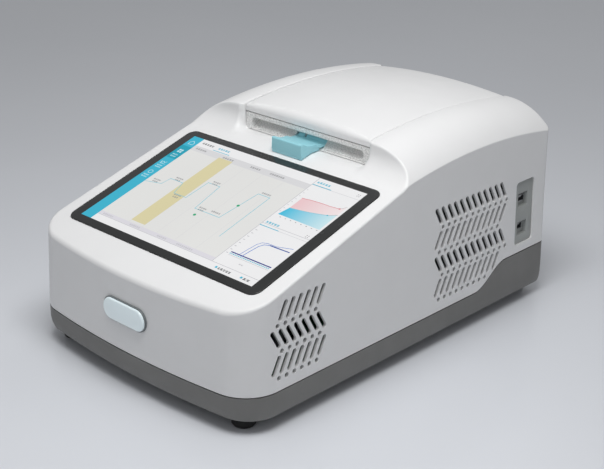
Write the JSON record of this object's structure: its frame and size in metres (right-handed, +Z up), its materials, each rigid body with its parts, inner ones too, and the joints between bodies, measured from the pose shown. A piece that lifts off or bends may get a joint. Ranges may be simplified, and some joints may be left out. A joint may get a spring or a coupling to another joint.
{
  "type": "thermal cycler",
  "caption": "Bench thermal cycler: sloping touch display, heated lid on a rear hinge over a well block, leaning side vents, grey base on rubber feet.",
  "frame": {"origin": "on the bench, under the middle of the outer box", "axes": "+X to the user's right, +Y from the display towards the back, +Z up"},
  "size_m": [0.2764, 0.4194, 0.2009],
  "materials": {
    "casing_white": "fine satin moulded plastic",
    "base_grey": "fine matt moulded plastic",
    "panel_grey": "matt moulded plastic",
    "grip_grey": "coarse spark-eroded grain",
    "well_white": "satin moulded plastic",
    "latch_teal": "satin moulded plastic",
    "badge_ice": "clear-coated pale blue",
    "screen_glass": "black-bordered touch glass, polished",
    "lcd_metal": "pressed steel",
    "foot_rubber": "matt rubber",
    "gasket_rubber": "silicone",
    "steel": "zinc-plated steel",
    "screw_steel": "zinc-plated steel",
    "spring_steel": "spring wire",
    "block_aluminium": "anodised, fine matt",
    "sink_aluminium": "extruded",
    "plate_aluminium": "hard anodised",
    "ceramic": "alumina ceramic",
    "foam": "silicone foam",
    "duct_black": "matt moulded plastic",
    "fan_black": "glass-filled plastic",
    "rotor_black": "satin plastic",
    "board_green": "solder mask",
    "component_mix": "moulded and metal parts",
    "cable_grey": "flat cable",
    "wire_black": "insulated wire",
    "inlet_black": "moulded thermoplastic",
    "rocker_black": "polished",
    "drawer_black": "moulded thermoplastic"
  },
  "bodies": {
    "root": {"base_tray": "base_grey", "upper_casing": "casing_white", "rear_panel": "panel_grey", "lid_well": "well_white", "front_badge": "badge_ice", "port_bezel": "panel_grey", "usb_socket_upper": "steel", "usb_socket_lower": "steel", "foot_front_left": "foot_rubber", "foot_front_right": "foot_rubber", "foot_rear_left": "foot_rubber", "foot_rear_right": "foot_rubber", "foot_screws": "screw_steel", "casing_screws": "screw_steel", "touch_glass": "screen_glass", "lcd_module": "lcd_metal", "display_bracket": "steel", "display_board": "board_green", "display_cable": "cable_grey", "hinge_brackets": "steel", "hinge_pins": "steel", "latch_magnet": "steel", "sample_block": "block_aluminium", "block_gasket": "gasket_rubber", "peltier_modules": "ceramic", "heatsink": "sink_aluminium", "heatsink_shroud": "duct_black", "block_screws": "screw_steel", "fan_housing_left": "fan_black", "fan_housing_right": "fan_black", "fan_guards": "steel", "fan_screws": "screw_steel", "power_supply": "steel", "main_board": "board_green", "board_components": "component_mix", "board_standoffs": "steel", "mains_inlet": "inlet_black", "panel_screws": "screw_steel", "power_harness": "wire_black"},
    "lid": {"lid_cover": "casing_white", "lid_frame": "grip_grey", "lid_insulation": "foam", "lid_screws": "screw_steel", "latch_pin": "steel", "latch_spring": "spring_steel", "plate_springs": "spring_steel"},
    "plate": {"heated_plate": "plate_aluminium", "plate_guide_pins": "steel"},
    "latch": {"latch_lever": "latch_teal", "latch_keeper": "steel"},
    "rotor_left": {"fan_rotor_left": "rotor_black"},
    "rotor_right": {"fan_rotor_right": "rotor_black"},
    "rocker": {"power_rocker": "rocker_black"},
    "drawer": {"fuse_drawer": "drawer_black"}
  },
  "joints": [
    {"name": "lid_hinge", "type": "hinge", "parent": "root", "child": "lid", "pos_m": [0, 0.1995, 0.151], "axis": [-1, 0, 0], "range_deg": [0, 75]},
    {"name": "plate_float", "type": "slide", "parent": "lid", "child": "plate", "axis": [0, 0, 1], "range_m": [0, 0.0025], "stiffness_N_per_m": 6000, "springref_m": -0.002, "deforming": ["plate_springs"]},
    {"name": "latch_lift", "type": "hinge", "parent": "lid", "child": "latch", "pos_m": [0, 0.024, 0.171], "axis": [-1, 0, 0], "range_deg": [0, 12], "stiffness_Nm_per_rad": 0.6, "springref_deg": -14.32},
    {"name": "left_fan_spin", "type": "hinge", "parent": "root", "child": "rotor_left", "pos_m": [-0.038, 0.1912, 0.097], "axis": [0, 1, 0], "continuous": true},
    {"name": "right_fan_spin", "type": "hinge", "parent": "root", "child": "rotor_right", "pos_m": [0.038, 0.1912, 0.097], "axis": [0, 1, 0], "continuous": true},
    {"name": "power_switch", "type": "hinge", "parent": "root", "child": "rocker", "pos_m": [0.094, 0.2024, 0.1055], "axis": [-1, 0, 0], "range_deg": [0, 16]},
    {"name": "fuse_slide", "type": "slide", "parent": "root", "child": "drawer", "axis": [0, 1, 0], "range_m": [0, 0.012]}
  ]
}
